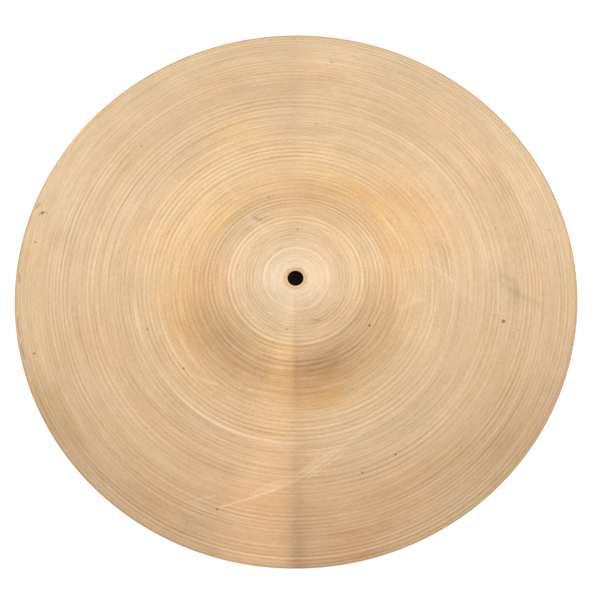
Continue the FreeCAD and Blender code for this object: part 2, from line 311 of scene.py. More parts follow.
# tarnish and polish on the top face, as soft patches, some of them painted shade: the dark patches at
# 224 degrees and 80 mm, 289 degrees and 75 mm, and 281 degrees and 70 mm lie over the near side of the
# bell's flank. Columns: angle (degrees), radius, half size across the rings, half size along them,
# gain on red, green and blue
PATCHES = [
    (55, 97, 17, 40, (1.050, 0.972, 0.835)), (26, 117, 28, 38, (1.065, 1.01, 0.92)),
    (78, 83, 11, 34, (1.00, 0.975, 0.93)), (136, 81, 12, 22, (1.02, 0.975, 0.91)),
    (5, 73, 14, 28, (1.05, 1.06, 1.08)), (140, 63, 8, 38, (0.99, 1.02, 1.07)),
    (240, 50, 12, 40, (1.04, 1.04, 1.03)), (130, 112, 28, 74, (1.06, 1.075, 1.07)),
    (110, 143, 14, 30, (1.03, 1.03, 0.93)), (195, 98, 18, 36, (1.005, 0.96, 0.875)),
    # painted shade on the near side of the bell's flank: the patch at 224 degrees, 80 mm
    (224, 80, 12, 44, (0.90, 0.855, 0.815)), (262, 77, 13, 14, (1.05, 1.01, 0.90)),
    # painted shade on the near side of the bell's flank: the patch at 289 degrees, 75 mm
    (289, 75, 12, 22, (0.82, 0.775, 0.74)), (282, 94, 15, 28, (1.00, 0.895, 0.78)),
    (208, 219, 16, 44, (0.93, 0.895, 0.82)), (236, 215, 15, 34, (0.965, 0.94, 0.90)),
    (283, 214, 18, 32, (0.935, 0.86, 0.79)), (320, 204, 26, 62, (0.93, 0.91, 0.86)),
    (343, 130, 36, 66, (0.99, 1.005, 1.04)), (157, 190, 42, 72, (1.045, 1.07, 1.11)),
    (357, 175, 10, 20, (0.94, 0.945, 0.95)), (3, 171, 5, 9, (0.97, 0.97, 0.97)),
    (120, 67, 9, 10, (0.95, 0.98, 1.02)), (80, 190, 8, 15, (0.93, 0.91, 0.88)),
    (104, 189, 7, 10, (0.96, 0.95, 0.93)), (27, 196, 7, 20, (0.92, 0.91, 0.88)),
    (166, 203, 8, 16, (0.94, 0.925, 0.90)), (193, 206, 10, 20, (1.04, 1.05, 1.06)),
    (233, 205, 16, 30, (0.965, 0.945, 0.92)), (258, 160, 60, 16, (1.03, 1.00, 0.985)),
    (298, 28, 9, 12, (0.93, 0.92, 0.91)), (295, 39, 4, 8, (0.90, 0.88, 0.86)),
    (214, 172, 14, 40, (1.02, 1.03, 1.04)), (60, 150, 22, 50, (1.02, 1.02, 1.00)),
    (300, 150, 22, 44, (1.01, 1.02, 1.04)), (70, 42, 15, 46, (0.965, 0.960, 0.958)),
    (138, 68, 13, 42, (0.962, 0.958, 0.955)), (308, 40, 13, 34, (1.030, 1.030, 1.030)),
    (262, 59, 7, 18, (1.045, 1.045, 1.040)), (2, 82, 15, 44, (1.030, 1.032, 1.035)),
    (88, 84, 12, 40, (0.978, 0.978, 0.975)), (300, 84, 14, 36, (1.022, 1.022, 1.020)),
    (48, 158, 36, 120, (1.022, 1.026, 1.030)), (130, 138, 24, 60, (1.018, 1.020, 1.020)),
    (85, 219, 15, 150, (1.030, 1.035, 1.040)), (5, 218, 14, 90, (1.022, 1.026, 1.030)),
    (262, 198, 17, 60, (0.972, 0.966, 0.962)), (225, 132, 30, 60, (0.980, 0.980, 0.980)),
    (2, 169, 6, 10, (0.905, 0.91, 0.92)), (302, 26, 10, 26, (1.055, 1.055, 1.050)),
    (225, 13, 7, 17, (1.035, 1.040, 1.040)), (252, 55, 9, 26, (1.050, 1.035, 1.015)),
    (128, 55, 11, 28, (0.968, 0.985, 0.995)), (246, 66, 9, 20, (1.040, 1.020, 0.995)),
    (140, 74, 11, 30, (0.968, 0.985, 1.000)), (238, 80, 9, 24, (1.035, 1.025, 1.015)),
    # painted shade on the near side of the bell's flank: the patch at 281 degrees, 70 mm
    (24, 60, 14, 30, (0.990, 1.010, 1.035)), (281, 70, 8, 12, (0.960, 0.950, 0.930)),
    (345, 94, 12, 40, (1.012, 1.022, 1.035)), (15, 156, 14, 60, (1.024, 1.036, 1.040)),
    (210, 156, 13, 44, (0.970, 0.974, 0.974)), (150, 157, 14, 44, (1.010, 1.028, 1.036)),
    (332, 157, 14, 44, (1.014, 1.030, 1.028)), (272, 205, 30, 96, (1.020, 0.978, 0.948)),
    (269, 158, 20, 34, (1.000, 0.980, 0.955)), (92, 217, 13, 70, (1.010, 1.036, 1.065)),
    (34, 216, 13, 60, (1.016, 1.030, 1.030)), (30, 165, 16, 60, (1.014, 1.020, 1.020)),
    (86, 213, 22, 180, (1.004, 1.044, 1.080)), (26, 208, 18, 90, (1.024, 1.036, 1.044)),
    (152, 212, 18, 70, (1.000, 1.026, 1.050)), (300, 200, 36, 90, (0.994, 0.962, 0.936)),
    (246, 160, 62, 110, (1.018, 0.986, 0.958)), (300, 177, 16, 60, (0.998, 0.972, 0.950)),
    (30, 146, 17, 120, (1.030, 1.042, 1.056)), (150, 146, 15, 50, (1.006, 1.026, 1.060)),
    (210, 146, 15, 45, (0.960, 0.970, 0.965)), (60, 88, 10, 34, (0.958, 0.964, 0.956)),
    (205, 92, 12, 36, (0.976, 0.954, 0.932)), (60, 168, 14, 130, (1.012, 1.018, 1.018)),
    (135, 68, 18, 56, (0.952, 0.970, 0.990)), (262, 170, 16, 60, (1.008, 0.992, 0.976)),
    (242, 66, 26, 34, (1.026, 1.012, 0.998)), (28, 66, 14, 34, (0.994, 1.010, 1.034)),
    (100, 158, 14, 70, (1.014, 1.020, 1.025)), (255, 54, 8, 26, (1.032, 1.024, 1.010)),
    (238, 122, 22, 50, (0.996, 0.970, 0.946)), (357, 178.5, 6, 10, (0.90, 0.905, 0.915)),
]


def tarnish_and_shade_at(r, phi):
    """Red, green and blue gains at points given by radius and angle."""
    x, y = r * np.cos(phi), r * np.sin(phi)
    # clouds of hue, clouds of brightness, pink blotches
    hue = cloudy(x, y, 52.0, 900)[..., None]
    out = 1.0 + hue * np.array([-0.022, 0.018, 0.050])
    clouds = 1.0 + 0.040 * cloudy(x, y, 40.0, 910) + 0.044 * cloudy(x, y, 15.0, 920, 3, 0.7)
    out = out * clouds[..., None]
    pink = np.clip((cloudy(x, y, 20.0, 930, 4, 0.7) - 0.10) * 3.0, 0, 1)[..., None]
    out = out * (1.0 + pink * np.array([-0.008, -0.022, -0.026]))
    # streaks along the rings, in brightness and in hue
    bands = 1.0 + 0.020 * drawn_round(phi, r, 6, 15.0, 940) + 0.016 * drawn_round(phi, r, 17, 6.5, 950)
    out = out * bands[..., None]
    hue = drawn_round(phi, r, 8, 9.0, 955)[..., None]
    out = out * (1.0 + hue * np.array([-0.008, 0.004, 0.020]))
    # the patches, streaked and with uneven outlines
    streak = 1.0 + 0.45 * drawn_round(phi, r, 15, 2.3, 960) + 0.35 * drawn_round(phi, r, 34, 3.4, 970)
    dx = 13.0 * cloudy(x, y, 26.0, 980, 3, 0.65)
    dy = 13.0 * cloudy(x, y, 26.0, 990, 3, 0.65)
    for angle, r0, across, along, tint in PATCHES:
        a = math.radians(angle)
        k = min(1.0, across / 14.0)
        px, py = x + dx * k, y + dy * k
        d2 = (px - r0 * math.cos(a)) ** 2 + (py - r0 * math.sin(a)) ** 2
        dr2 = (np.hypot(px, py) - r0) ** 2
        mask = np.exp(-1.25 * (dr2 / across**2 + np.maximum(d2 - dr2, 0) / along**2))
        mask = mask * np.clip(streak, 0.2, 1.7)
        out = out * (1.0 + mask[..., None] * (np.array(tint) - 1.0))
    return np.clip(out, 0.3, 1.6)


# =====================================================================
# 3. The mesh: rings from the bore up, out over the top, round the rim and back underneath
# =====================================================================
TOP_FACE, EDGE, UNDERSIDE = 0, 1, 2         # material slots
FACE_START, FACE_END, FACE_RINGS = 8.6, 228.0, 424
OUTER_R = 228.30                            # last ring of either face
RIM_ROUND = 0.20                            # radius of the rim's corners
BORE_LOW_R = 6.75                           # where the underside meets the bore's lower bevel
Z_LAND = float(z_top(7.95))                 # height of the top face beside the bevel
Z_UNDER = PEAK - CROWN_R + math.sqrt((CROWN_R - T_BELL) ** 2 - BORE_LOW_R**2)
# the bore's upper bevel: radius, depth below the land, groove, material slot
BEVEL = [
    (R_HOLE, 0.46, 0, EDGE), (R_HOLE + 0.10, 0.345, 0, EDGE), (7.10, 0.185, 0.35, EDGE),
    (7.78, 0.030, 0.2, EDGE), (7.98, 0.004, 0, TOP_FACE),
]

# each ring's tarnish gains also carry painted shade from the patches on the bell's near flank
rings = []                                  # points, groove, material slot, tarnish


def put(r, z, kind, groove=0.0, tarnish_and_shade=None):
    """Adds one closed ring; r, z and groove are numbers or arrays of SEG."""
    r, z, groove = (np.broadcast_to(np.asarray(v, float), (SEG,)) for v in (r, z, groove))
    points = np.stack([r * np.cos(PHI), r * np.sin(PHI), z], 1)
    rings.append((points, groove, kind, np.ones((SEG, 3)) if tarnish_and_shade is None else tarnish_and_shade))


def put_bore():
    wall_low = Z_UNDER + 0.25
    put(R_HOLE, wall_low, EDGE)
    put(R_HOLE, (wall_low + Z_LAND - 0.40) / 2, EDGE)
    for r, depth, groove, kind in BEVEL:
        put(r, Z_LAND - depth, kind, groove)


def put_top():
    put(8.25, z_top(8.25), TOP_FACE)
    radii = np.linspace(FACE_START, FACE_END, FACE_RINGS)
    r = np.broadcast_to(radii[:, None], (FACE_RINGS, SEG))
    phi = np.broadcast_to(PHI, r.shape)
    cut = turned([(FACE_START, 0.0)] + TURNS + [(228.4, 0.0)], r, phi)
    uneven = 0.30 * drawn_round(phi, r, 15, 7.0, 801) + 0.20 * drawn_round(phi, r, 37, 4.0, 802)
    cut = cut * (1 + uneven)
    z = z_top(r) + (warp(radii) + hammering(r) * fade_out(r, 227, 10)) + GROOVE * cut
    # tarnish gains, with painted shade over the near side of the bell's flank
    tarnish_and_shade = tarnish_and_shade_at(r, phi)
    for k in range(FACE_RINGS):
        put(r[k], z[k], TOP_FACE, cut[k] / 5.0, tarnish_and_shade[k])
    put(OUTER_R, z_top(OUTER_R), TOP_FACE, tarnish_and_shade=tarnish_and_shade[-1])


def put_rim():
    corner_r = RIM - RIM_ROUND
    put(corner_r, z_top(corner_r), EDGE)
    for angles, z in (((62, 38, 12), T_RIM - RIM_ROUND), ((-12, -40, -70), RIM_ROUND)):
        for a in np.radians(angles):
            put(corner_r + RIM_ROUND * math.cos(a), z + RIM_ROUND * math.sin(a), EDGE)


def put_underside():
    radii, strength = low_rings()
    # the plate is not quite flat under the tool, so it cuts unevenly round the turn
    uneven = np.stack([smooth_noise(5, 700 + k // 4) for k in range(len(radii))])
    r = radii[:, None] + waver(radii, 32)
    cut = strength[:, None] * (1 + 0.6 * uneven)
    shift = warp(radii) + 0.6 * hammering(r) * fade_out(r, 220, 12)
    z = z_top(r) - thickness(r) + shift * fade_out(r, 226, 14) - GROOVE * cut
    z = np.maximum(z, 0.010 + (RIM - r) * 0.05)
    put(OUTER_R, 0.012, UNDERSIDE)
    for k in reversed(range(len(radii))):
        put(r[k], z[k], UNDERSIDE, cut[k] / 5.0)
    put(6.90, Z_UNDER - 0.002, UNDERSIDE)
    put(BORE_LOW_R, Z_UNDER, EDGE)
    put(6.50, Z_UNDER + 0.10, EDGE)


def plate_mesh():
    """Joins the rings into one closed surface of quads."""
    points, grooves, kinds, tarnish_and_shade = zip(*rings)
    co = np.concatenate(points) * 0.001
    i = np.arange(len(rings))[:, None]
    j = np.arange(SEG)[None, :]
    i1, j1 = (i + 1) % len(rings), (j + 1) % SEG
    corners = [i * SEG + j, i * SEG + j1, i1 * SEG + j1, i1 * SEG + j]
    quads = np.stack(corners, -1).reshape(-1, 4)[:, ::-1]
    slots = np.maximum(kinds, np.roll(kinds, -1))

    mesh = bpy.data.meshes.new("cymbal")
    mesh.vertices.add(len(co))
    mesh.vertices.foreach_set("co", co.astype(np.float32).ravel())
    mesh.loops.add(quads.size)
    mesh.loops.foreach_set("vertex_index", quads.astype(np.int32).ravel())
    mesh.polygons.add(len(quads))
    mesh.polygons.foreach_set("loop_start", np.arange(0, quads.size, 4, dtype=np.int32))
    mesh.polygons.foreach_set("use_smooth", np.ones(len(quads), bool))
    mesh.polygons.foreach_set("material_index", np.repeat(slots, SEG).astype(np.int32))
    mesh.update(calc_edges=True)
    mesh.validate()
    attr = mesh.attributes.new("groove", "FLOAT", "POINT")
    attr.data.foreach_set("value", np.concatenate(grooves).astype(np.float32))
    attr = mesh.attributes.new("tarnish_and_shade", "FLOAT_VECTOR", "POINT")
    attr.data.foreach_set("vector", np.concatenate(tarnish_and_shade).astype(np.float32).ravel())
    return mesh


put_bore()
put_top()
put_rim()
put_underside()
plate = bpy.data.objects.new("bronze_plate", plate_mesh())
bpy.context.scene.collection.objects.link(plate)


# =====================================================================
# 4. Node helpers
# =====================================================================
class Graph:
    """Small helpers for building a node tree; values are sockets or numbers."""

    def __init__(self, tree):
        self.nodes = tree.nodes
        self.links = tree.links

    def new(self, kind, **settings):
        node = self.nodes.new(kind)
        for name, value in settings.items():
            setattr(node, name, value)
        return node

    def feed(self, socket, value):
        if isinstance(value, bpy.types.NodeSocket):
            self.links.new(value, socket)
        elif value is not None:
            socket.default_value = value

    def feed_all(self, node, values):
        """Feeds the first inputs in order, or inputs by name."""
        pairs = values.items() if isinstance(values, dict) else enumerate(values)
        for key, value in pairs:
            self.feed(node.inputs[key], value)
        return node

    def math(self, op, *values):
        return self.feed_all(self.new("ShaderNodeMath", operation=op), values).outputs[0]

    def add(self, a, b): return self.math("ADD", a, b)
    def sub(self, a, b): return self.math("SUBTRACT", a, b)
    def mul(self, a, b): return self.math("MULTIPLY", a, b)
    def div(self, a, b): return self.math("DIVIDE", a, b)
    def maximum(self, a, b): return self.math("MAXIMUM", a, b)

    def length(self, a, b):
        return self.math("SQRT", self.add(self.mul(a, a), self.mul(b, b)))

    def total(self, first, *rest):
        for term in rest:
            first = self.add(first, term)
        return first

    def swing(self, noise, amount):
        """Noise centred on zero and scaled."""
        return self.mul(self.sub(noise, 0.5), amount)

    def vec(self, x, y, z):
        return self.feed_all(self.new("ShaderNodeCombineXYZ"), (x, y, z)).outputs[0]

    def vector_math(self, op, values):
        return self.feed_all(self.new("ShaderNodeVectorMath", operation=op), values).outputs[0]

    def times(self, a, b): return self.vector_math("MULTIPLY", (a, b))
    def scaled(self, a, gain): return self.vector_math("SCALE", {0: a, "Scale": gain})

    def noise(self, vector, detail, rough=0.55, distort=0.0):
        node = self.new("ShaderNodeTexNoise", noise_dimensions="3D", normalize=True)
        return self.feed_all(node, {"Vector": vector, "Scale": 1.0, "Detail": detail,
                                    "Roughness": rough, "Distortion": distort}).outputs[0]

    def remap(self, v, low, high, to_low=0.0, to_high=1.0, kind="LINEAR"):
        """Carries low..high to to_low..to_high, clamped."""
        node = self.new("ShaderNodeMapRange", clamp=True, interpolation_type=kind)
        return self.feed_all(node, (v, low, high, to_low, to_high)).outputs[0]

    def ease(self, v, low, high, to_low=0.0, to_high=1.0):
        """remap with soft ends."""
        return self.remap(v, low, high, to_low, to_high, "SMOOTHSTEP")

    def mix(self, fac, a, b):
        node = self.new("ShaderNodeMix", data_type="RGBA", blend_type="MIX", clamp_factor=True)
        a, b = ((*c, 1.0) if isinstance(c, tuple) else c for c in (a, b))
        return self.feed_all(node, {0: fac, 6: a, 7: b}).outputs[2]


def mask_group(name, inputs):
    """An empty node group with one output, the mask: its tree, graph, inputs and output socket."""
    tree = bpy.data.node_groups.new(name, "ShaderNodeTree")
    for label in inputs:
        tree.interface.new_socket(label, in_out="INPUT", socket_type="NodeSocketFloat")
    tree.interface.new_socket("mask", in_out="OUTPUT", socket_type="NodeSocketFloat")
    G = Graph(tree)
    sockets = G.new("NodeGroupInput").outputs[:len(inputs)]
    return tree, G, sockets, G.new("NodeGroupOutput").inputs[0]


def spot_group():
    """How much of a soft round spot covers the point (mm)."""
    tree, G, sockets, mask = mask_group("spot", ("x", "y", "cx", "cy", "radius", "edge"))
    x, y, centre_x, centre_y, radius, edge = sockets
    distance = G.length(G.sub(x, centre_x), G.sub(y, centre_y))
    G.feed(mask, G.ease(distance, G.sub(radius, edge), radius, 1.0, 0.0))
    return tree


def stroke_group():
    """How much of a scratch or smear covers the point: a soft line between two points (mm)."""
    tree, G, sockets, mask = mask_group("stroke", ("x", "y", "ax", "ay", "bx", "by", "width", "bend"))
    x, y, ax, ay, bx, by, width, bend = sockets
    dx, dy = G.sub(bx, ax), G.sub(by, ay)
    length = G.length(dx, dy)
    ux, uy = G.div(dx, length), G.div(dy, length)
    px, py = G.sub(x, ax), G.sub(y, ay)
    along = G.div(G.add(G.mul(px, ux), G.mul(py, uy)), length)
    across = G.sub(G.mul(py, ux), G.mul(px, uy))
    arch = G.mul(G.mul(along, G.sub(1.0, along)), G.mul(bend, 4.0))
    side = G.ease(G.math("ABSOLUTE", G.sub(across, arch)), 0.0, width, 1.0, 0.0)
    ends = G.mul(G.ease(along, 0.0, 0.06), G.ease(along, 0.94, 1.0, 1.0, 0.0))
    G.feed(mask, G.mul(side, ends))
    return tree


SPOT, STROKE = spot_group(), stroke_group()


class Surface(Graph):
    """A material, with the point's x, y and distance r from the axis (mm)."""

    def __init__(self, name):
        self.material = bpy.data.materials.new(name)
        self.material.use_nodes = True
        super().__init__(self.material.node_tree)
        self.bsdf = next(n for n in self.nodes if n.type == "BSDF_PRINCIPLED")
        position = self.new("ShaderNodeTexCoord").outputs["Object"]
        split = self.feed_all(self.new("ShaderNodeSeparateXYZ"), (position,))
        self.x, self.y = self.mul(split.outputs[0], 1000.0), self.mul(split.outputs[1], 1000.0)
        self.r = self.length(self.x, self.y)

    def direction(self):
        """Cosine and sine of the angle round the axis."""
        return tuple(self.div(v, self.maximum(self.r, 0.01)) for v in (self.x, self.y))

    def wobble(self):
        """The radius, with the small waver that rings have on a hammered plate."""
        n = self.noise(self.vec(self.mul(self.x, 0.018), self.mul(self.y, 0.018), 3.0), detail=0.0)
        return self.add(self.r, self.swing(n, 0.7))

    def ring_noise(self, around, r, turns, per_mm, detail=2.0, rough=0.5, lift=0.0):
        """Noise drawn out round the axis: turns sets how short a line is, per_mm how close."""
        cos, sin = around
        v = self.vec(self.mul(cos, turns), self.add(self.mul(sin, turns), lift), self.mul(r, per_mm))
        return self.noise(v, detail, rough)

    def blobs(self, mm, detail=3.0, rough=0.55, lift=0.0, distort=0.0):
        """Plain cloudy noise with features of about mm millimetres."""
        v = self.vec(self.div(self.x, mm), self.div(self.y, mm), lift)
        return self.noise(v, detail, rough, distort)

    def marks(self, group, x, y, items):
        """The strongest of many spots or strokes; the last value of an item is its strength."""
        total = None
        for *shape, level in items:
            node = self.feed_all(self.new("ShaderNodeGroup", node_tree=group), (x, y, *shape))
            mask = node.outputs[0] if level == 1 else self.mul(node.outputs[0], level)
            total = mask if total is None else self.maximum(total, mask)
        return total

    def patch(self, angle, r0, across, along):
        """How much of a patch that follows the rings covers the point."""
        a = math.radians(angle)
        dx, dy = self.sub(self.x, r0 * math.cos(a)), self.sub(self.y, r0 * math.sin(a))
        d2 = self.add(self.mul(dx, dx), self.mul(dy, dy))
        dr = self.sub(self.r, r0)
        dr2 = self.mul(dr, dr)
        round_axis = self.mul(self.maximum(self.sub(d2, dr2), 0.0), 1.0 / along**2)
        q = self.add(self.mul(dr2, 1.0 / across**2), round_axis)
        return self.ease(q, 0.0, 1.0, 1.0, 0.0)

    def attribute(self, name, output):
        return self.new("ShaderNodeAttribute", attribute_name=name).outputs[output]

    def tangent(self):
        return self.new("ShaderNodeTangent", direction_type="RADIAL", axis="Z").outputs[0]

    def bump(self, height, strength, distance, normal=None):
        return self.feed_all(self.new("ShaderNodeBump"), {
            "Height": height, "Strength": strength, "Distance": distance, "Normal": normal,
        }).outputs[0]

    def lathed(self, color, rough, normal):
        """Turned metal: the highlight is drawn out across the rings."""
        self.feed_all(self.bsdf, {
            "Base Color": color, "Metallic": 0.92, "Roughness": rough, "Normal": normal,
            "Tangent": self.tangent(), "Anisotropic": 0.9, "Anisotropic Rotation": 0.25,
        })


# =====================================================================
# 5. Materials
# =====================================================================
# marks on the top face, in millimetres from the axis
# dark pits: centre x and y, radius, soft edge, strength
PITS = [
    (-124.5, 126.9, 1.0, 0.6, 0.7), (-119.8, -33.3, 1.1, 0.7, 0.8), (-91.2, -66.9, 1.1, 0.7, 0.9),
    (-211.5, -48.2, 1.1, 0.6, 0.9), (-211.9, 46.9, 1.4, 0.9, 0.7), (-66.0, -181.8, 1.2, 0.7, 0.9),
    (48.8, -155.4, 1.1, 0.6, 0.8), (75.4, -141.5, 1.2, 0.7, 0.9), (166.4, -33.2, 2.0, 1.1, 0.9),
    (58.1, -38.3, 1.2, 0.7, 1.0), (2.6, 42.1, 1.2, 0.8, 0.6), (-20.3, 74.8, 1.1, 0.7, 0.6),
    (34.7, 199.8, 1.0, 0.6, 0.6), (20.6, 141.7, 1.0, 0.6, 0.5), (-8.1, -42.3, 1.1, 0.7, 0.6),
    (178.5, -40.5, 0.9, 0.6, 0.6), (208.0, 46.0, 1.1, 0.7, 0.5), (164.1, 46.7, 1.0, 0.6, 0.5),
    (-206.6, 72.9, 1.9, 1.2, 0.9), (-203.0, 72.6, 1.0, 0.8, 0.6), (-90.0, -190.6, 1.0, 0.6, 0.6),
    (-30.4, 55.0, 0.9, 0.6, 0.5), (-27.4, 52.8, 0.9, 0.6, 0.5), (-143.0, 34.0, 0.8, 0.5, 0.5),
]
# dark smears: from, to, half width, bend, strength
SMEARS = [
    (-211.8, 77.0, -208.8, 82.0, 1.6, 0.3, 0.55), (-209.6, 70.6, -203.4, 73.8, 1.0, 0.3, 0.50),
    (-225.4, 21.5, -224.9, 12.0, 1.3, 0.3, 0.60), (-225.6, -14.0, -223.6, -33.5, 1.2, -0.5, 0.50),
    (-222.6, -38.0, -219.6, -53.0, 1.2, -0.4, 0.55), (-226.5, 3.0, -226.3, -8.0, 0.9, 0.1, 0.35),
    (-35.5, 55.4, -26.0, 52.2, 2.2, 0.5, 0.24), (-31.5, 53.6, -25.4, 52.6, 0.9, 0.2, 0.30),
    (165.0, -1.0, 186.0, -15.0, 6.0, 1.0, 0.10), (172.5, -5.2, 182.0, -11.5, 2.6, 0.4, 0.20),
    (11.0, -34.6, 19.0, -36.4, 1.3, 0.3, 0.30), (-158.0, -152.0, -154.0, -160.0, 0.9, 0.2, 0.22),
    (162.5, 8.5, 178.5, -1.5, 4.6, 0.5, 0.14), (182.0, -11.5, 198.0, -21.5, 4.6, 0.6, 0.15),
    (171.0, -4.5, 176.0, -8.5, 2.0, 0.3, 0.26),
]
# pale rubs and scratches: from, to, half width, bend, strength
RUBS = [
    (-64.2, -179.6, -31.7, -170.9, 0.95, -0.6, 0.95), (-34.0, -171.6, -2.0, -159.8, 1.2, -0.8, 0.85),
    (-4.0, -160.8, 22.0, -143.6, 1.6, -0.5, 0.70), (18.0, -146.8, 58.0, -116.6, 2.2, 0.8, 0.45),
    (-40.0, -172.4, 24.0, -141.0, 5.0, -1.8, 0.30), (-39.6, -170.6, -25.7, -163.9, 0.9, 0.2, 0.70),
    (-29.6, -164.7, -13.8, -160.2, 0.9, 0.3, 0.60), (-86.8, -174.6, -65.5, -170.6, 1.1, 0.5, 0.50),
    (-6.3, -159.6, 14.7, -141.8, 0.9, 0.4, 0.60), (0.1, -154.8, 30.7, -134.1, 1.1, 0.5, 0.55),
    (3.9, -160.7, 36.0, -139.1, 1.0, 0.5, 0.50), (-23.8, -168.0, 0.1, -157.6, 0.8, 0.3, 0.60),
    (106.7, 19.4, 131.0, -2.0, 0.8, 0.6, 0.62), (107.6, 17.2, 130.9, -6.7, 1.0, 0.6, 0.26),
    (138.8, -9.9, 143.6, -16.3, 0.9, 0.1, 0.55), (113.8, 43.1, 125.6, 33.2, 1.0, 0.4, 0.55),
    (117.6, 36.5, 124.8, 37.5, 1.0, 0.2, 0.60), (86.0, 10.5, 97.3, 12.9, 1.0, 0.3, 0.32),
    (82.0, -23.0, 103.3, -12.2, 4.6, 0.8, 0.34), (-87.0, -72.5, -63.0, -81.8, 2.0, 0.6, 0.50),
    (-56.5, 88.6, -45.3, 74.5, 4.2, 0.6, 0.30), (-38.0, 58.4, -28.2, 43.2, 4.6, 0.6, 0.30),
    (-29.2, 49.7, -23.2, 40.0, 3.0, 0.3, 0.30), (-40.0, -86.0, -34.5, -86.6, 1.0, 0.1, 0.70),
    (-38.0, -99.0, -32.0, -99.8, 0.9, 0.1, 0.50), (14.5, -21.2, 23.3, -27.4, 1.6, -0.3, 0.30),
]
# rings rubbed brighter over part of the turn: angle, radius, half width, half length, strength
RUBBED_RINGS = [
    (240, 130.4, 1.5, 62, 0.80), (264, 131.0, 0.9, 24, 0.55), (288, 127.0, 0.9, 40, 0.40),
    (236, 126.6, 0.8, 50, 0.45), (240, 122.6, 0.7, 46, 0.35), (274, 119.2, 0.7, 46, 0.35),
    (150, 53.6, 0.8, 50, 0.30), (330, 53.0, 0.8, 40, 0.30), (232, 73.0, 0.9, 50, 0.55),
    (160, 50.4, 0.8, 40, 0.40), (20, 69.4, 0.8, 50, 0.40), (205, 111.8, 0.8, 50, 0.40),
    (160, 155.0, 0.9, 70, 0.30), (193, 130.8, 1.0, 26, 0.40),
]
# gain on red, green and blue from the hole to the rim: the bronze's own tone, with a painted highlight
# in the pale, whitened crown near the hole (9.4 to 35 mm) and painted shade in the darker band over
# the bell's steep flank (60 to 84 mm); darker too just outside the bore's bevel and at the very rim
TONES_AND_PAINTED_LIGHT = [
    (7.9, (0.97, 0.92, 0.84)), (8.5, (0.90, 0.82, 0.72)), (9.4, (1.165, 1.265, 1.44)),
    (14.0, (1.16, 1.275, 1.465)), (22.0, (1.105, 1.18, 1.33)), (28.0, (1.06, 1.11, 1.20)),
    (35.0, (1.015, 1.045, 1.09)), (45.0, (1.05, 1.065, 1.10)), (52.0, (1.035, 1.035, 1.04)),
    (60.0, (0.985, 0.962, 0.915)), (72.0, (0.96, 0.918, 0.86)), (84.0, (1.0, 0.958, 0.88)),
    (97.0, (1.01, 0.99, 0.95)), (112.0, (1.02, 1.035, 1.035)), (132.0, (1.0, 1.0, 1.015)),
    (160.0, (0.962, 0.967, 0.976)), (190.0, (0.94, 0.935, 0.945)), (214.0, (0.955, 0.958, 0.98)),
    (226.4, (0.94, 0.935, 0.95)), (227.6, (0.925, 0.90, 0.90)), (228.3, (0.83, 0.765, 0.72)),
]
TONE_SCALE = 1.6                            # keeps the ramp's colours below one
BRONZE = (0.720, 0.506, 0.297)
RING_TINT = (0.95, 1.08, 1.55)              # dark grooves are browner, pale ridges creamier
RUB_COLOR, SMEAR_COLOR, PIT_COLOR = (0.94, 0.76, 0.53), (0.19, 0.145, 0.095), (0.17, 0.115, 0.065)


# the bronze's tone by radius, carrying the crown's painted highlight and the flank's painted shade
def tone_and_light_ramp(G):
    ramp = G.new("ShaderNodeValToRGB")
    ramp.color_ramp.interpolation = "B_SPLINE"
    stops = ramp.color_ramp.elements
    while len(stops) > 1:
        stops.remove(stops[-1])
    for k, (radius, tone) in enumerate(TONES_AND_PAINTED_LIGHT):
        stop = stops[0] if k == 0 else stops.new(radius / RIM)
        stop.position = radius / RIM
        stop.color = (*(v / TONE_SCALE for v in tone), 1.0)
    G.feed(ramp.inputs[0], G.div(G.r, RIM))
    return G.scaled(ramp.outputs[0], TONE_SCALE)


